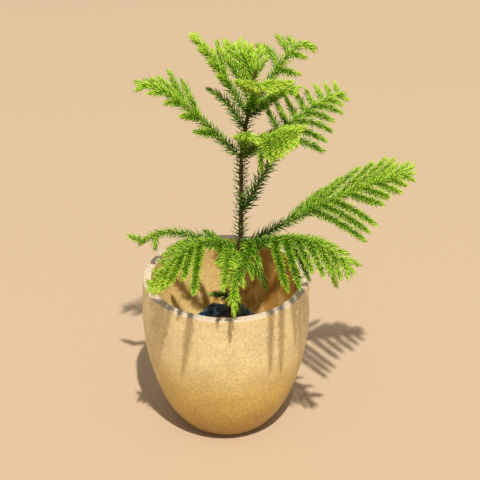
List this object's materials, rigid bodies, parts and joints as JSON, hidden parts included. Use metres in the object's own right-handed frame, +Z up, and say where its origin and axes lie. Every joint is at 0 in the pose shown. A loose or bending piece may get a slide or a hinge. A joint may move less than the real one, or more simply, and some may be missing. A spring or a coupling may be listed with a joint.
{
  "type": "araucaria bonsai",
  "caption": "Young araucaria trained as a bonsai, its whorls of needled fronds rising and drooping over a rounded stone-glazed pot.",
  "frame": {"origin": "middle of the pot's flat base, on the surface it stands on", "axes": "+Z up along the stem, -Y towards the front from which the picture was taken, +X to the right as seen from there"},
  "size_m": [0.3465, 0.2755, 0.5158],
  "materials": {
    "pot": "satin speckled beige stoneware with ochre streaks and a pale rim",
    "grow_bag": "thin crinkled dark blue polythene",
    "soil": "damp loose potting soil",
    "stem": "thin rough brown bark with dark green needles",
    "foliage": "waxy mid to deep green needles",
    "young_foliage": "fresh yellow-green needles"
  },
  "bodies": {
    "root": {"pot": "pot", "grow_bag": "grow_bag", "soil": "soil", "stem": "stem", "low_far_right": "foliage", "low_right": "foliage", "low_front": "foliage", "low_front_left": "foliage", "low_left": "foliage", "low_back_left": "foliage", "solo": "foliage", "mid_left": "foliage", "mid_back_left": "foliage", "mid_front": "young_foliage", "mid_front_right": "young_foliage", "mid_right": "foliage", "top_left": "young_foliage", "top_back_left": "young_foliage", "top_right": "young_foliage", "top_front_right": "young_foliage", "top_front": "young_foliage", "top_back": "young_foliage", "inner_right": "foliage", "twig_left": "foliage", "twig_right": "foliage"}
  },
  "joints": []
}
